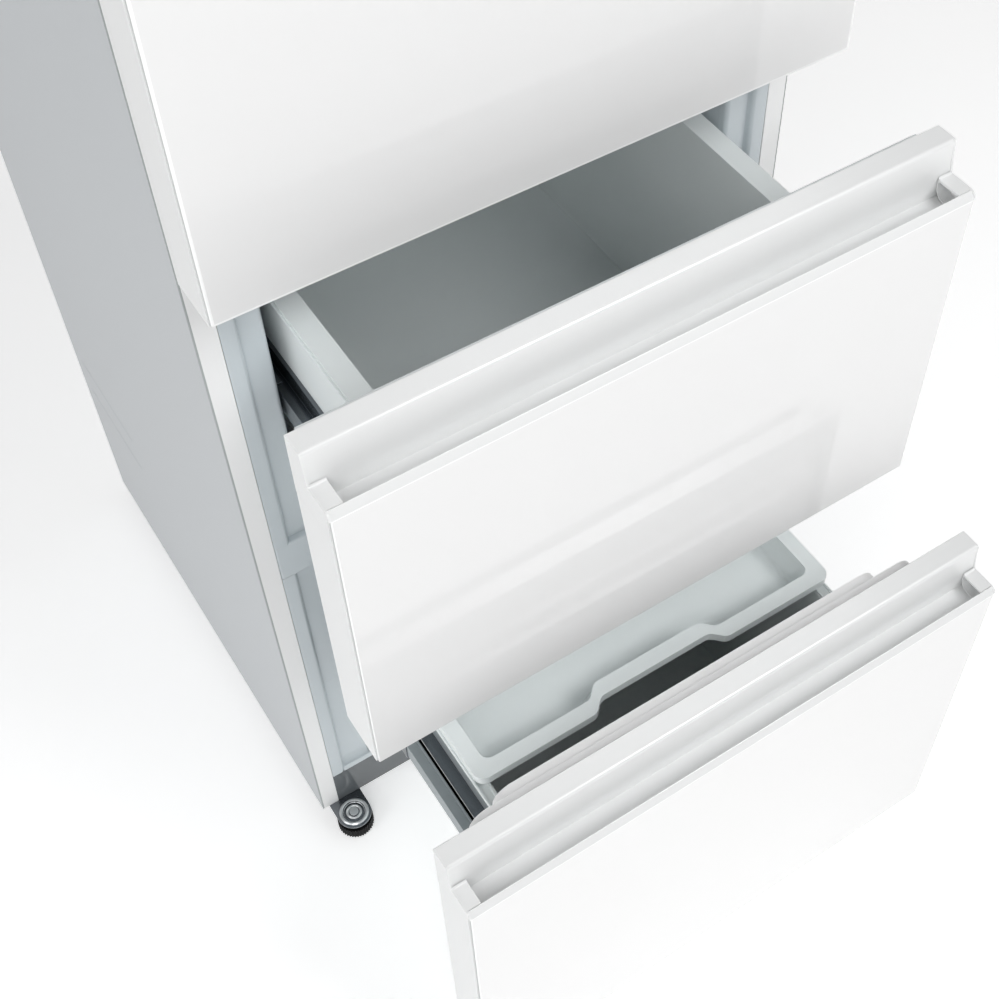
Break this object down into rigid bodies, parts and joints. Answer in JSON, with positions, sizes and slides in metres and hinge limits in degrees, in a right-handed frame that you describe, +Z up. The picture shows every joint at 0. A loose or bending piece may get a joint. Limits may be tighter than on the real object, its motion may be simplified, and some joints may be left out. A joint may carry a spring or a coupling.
{
  "type": "fridge freezer",
  "caption": "Tall free-standing fridge freezer with a wide upper door, full-width freezer drawers with recessed top grips, telescopic slides, a sliding tray and levelling feet",
  "frame": {"origin": "on the floor, in the middle of the cabinet's footprint", "axes": "+Z up, +X to the right as one faces the fridge, fronts towards -Y; stored with the door shut and both drawers part open, as pictured"},
  "size_m": [0.705, 1.1656, 1.8734],
  "materials": {
    "painted_case_steel": "smooth satin grey paint",
    "white_enamelled_steel": "smooth satin white paint",
    "galvanised_steel": "plain zinc coated sheet",
    "zinc_plated_steel": "bright zinc plating",
    "black_enamelled_steel": "gloss black paint",
    "rigid_foam": "cut foam",
    "liner_plastic": "vacuum formed, soft gloss",
    "grey_gloss_plastic": "moulded, gloss",
    "black_plastic": "moulded, matt",
    "aluminium_fins": "mill finish",
    "clear_glass": "clear toughened",
    "clear_plastic": "clear moulded plastic",
    "white_satin_plastic": "moulded, satin white",
    "white_backed_glass": "glass coated white on its back, full gloss",
    "grey_soft_seal": "soft extruded seal",
    "pale_box_plastic": "moulded, soft gloss"
  },
  "bodies": {
    "cabinet": {"outer_case": "painted_case_steel", "back_panel": "galvanised_steel", "front_frame": "white_enamelled_steel", "insulation_foam": "rigid_foam", "fridge_liner": "liner_plastic", "middle_freezer_liner": "liner_plastic", "bottom_freezer_liner": "liner_plastic", "freezer_divider_bar": "liner_plastic", "fridge_divider_bar": "liner_plastic", "kick_plate": "grey_gloss_plastic", "base_frame": "galvanised_steel", "foot_brackets": "zinc_plated_steel", "compressor": "black_enamelled_steel", "compressor_cover": "galvanised_steel", "freezer_fan_cover": "liner_plastic", "fan_motor": "black_plastic", "evaporator": "aluminium_fins", "upper_shelf": "clear_glass", "lower_shelf": "clear_glass", "top_hinge_bracket": "zinc_plated_steel", "top_hinge_cover": "white_satin_plastic", "lower_hinge_bracket": "zinc_plated_steel", "middle_left_cabinet_rail": "zinc_plated_steel", "middle_right_cabinet_rail": "zinc_plated_steel", "bottom_left_cabinet_rail": "zinc_plated_steel", "bottom_right_cabinet_rail": "zinc_plated_steel"},
    "left_foot": {"left_levelling_foot": "black_plastic"},
    "right_foot": {"right_levelling_foot": "black_plastic"},
    "rollers": {"rear_rollers": "black_plastic"},
    "fan": {"freezer_fan": "black_plastic"},
    "crisper": {"crisper_drawer": "clear_plastic"},
    "door": {"door_core": "white_satin_plastic", "door_glass": "white_backed_glass", "door_liner": "white_satin_plastic", "door_gasket": "grey_soft_seal", "lower_door_bin": "clear_plastic", "upper_door_bin": "clear_plastic"},
    "middle_slides": {"middle_left_intermediate_runner": "zinc_plated_steel", "middle_right_intermediate_runner": "zinc_plated_steel"},
    "middle_drawer": {"middle_front_core": "white_satin_plastic", "middle_front_glass": "white_backed_glass", "middle_grip": "white_satin_plastic", "middle_grip_end_caps": "white_satin_plastic", "middle_front_liner": "white_satin_plastic", "middle_gasket": "grey_soft_seal", "middle_drawer_box": "pale_box_plastic", "middle_left_drawer_rail": "zinc_plated_steel", "middle_right_drawer_rail": "zinc_plated_steel"},
    "bottom_slides": {"bottom_left_intermediate_runner": "zinc_plated_steel", "bottom_right_intermediate_runner": "zinc_plated_steel"},
    "bottom_drawer": {"bottom_front_core": "white_satin_plastic", "bottom_front_glass": "white_backed_glass", "bottom_grip": "white_satin_plastic", "bottom_grip_end_caps": "white_satin_plastic", "bottom_front_liner": "white_satin_plastic", "bottom_gasket": "grey_soft_seal", "bottom_drawer_basket": "pale_box_plastic", "bottom_left_drawer_rail": "zinc_plated_steel", "bottom_right_drawer_rail": "zinc_plated_steel"},
    "tray": {"freezer_tray": "pale_box_plastic"}
  },
  "joints": [
    {"name": "door_hinge", "type": "hinge", "parent": "cabinet", "child": "door", "pos_m": [0.34, -0.4, 1.465], "axis": [0, 0, 1], "range_deg": [0, 110]},
    {"name": "middle_drawer_slide", "type": "slide", "parent": "cabinet", "child": "middle_drawer", "axis": [0, -1, 0], "range_m": [-0.2, 0.22]},
    {"name": "middle_runner_slide", "type": "slide", "parent": "cabinet", "child": "middle_slides", "axis": [0, -1, 0], "range_m": [-0.1, 0.11]},
    {"name": "bottom_drawer_slide", "type": "slide", "parent": "cabinet", "child": "bottom_drawer", "axis": [0, -1, 0], "range_m": [-0.375, 0.085]},
    {"name": "bottom_runner_slide", "type": "slide", "parent": "cabinet", "child": "bottom_slides", "axis": [0, -1, 0], "range_m": [-0.1875, 0.0425]},
    {"name": "tray_slide", "type": "slide", "parent": "bottom_drawer", "child": "tray", "axis": [0, 1, 0], "range_m": [-0.045, 0.048]},
    {"name": "crisper_slide", "type": "slide", "parent": "cabinet", "child": "crisper", "axis": [0, -1, 0], "range_m": [0, 0.095]},
    {"name": "left_foot_turn", "type": "hinge", "parent": "cabinet", "child": "left_foot", "pos_m": [-0.3155, -0.3825, 0.01], "axis": [0, 0, 1], "continuous": true},
    {"name": "right_foot_turn", "type": "hinge", "parent": "cabinet", "child": "right_foot", "pos_m": [0.3155, -0.3825, 0.01], "axis": [0, 0, 1], "continuous": true},
    {"name": "rear_roller_turn", "type": "hinge", "parent": "cabinet", "child": "rollers", "pos_m": [0, 0.3, 0.02], "axis": [1, 0, 0], "continuous": true},
    {"name": "freezer_fan_turn", "type": "hinge", "parent": "cabinet", "child": "fan", "pos_m": [0, 0.25, 0.94], "axis": [0, 1, 0], "continuous": true}
  ],
  "couplings": [
    {"joint": "middle_runner_slide", "follows": "middle_drawer_slide", "ratio": 0.5},
    {"joint": "bottom_runner_slide", "follows": "bottom_drawer_slide", "ratio": 0.5}
  ]
}
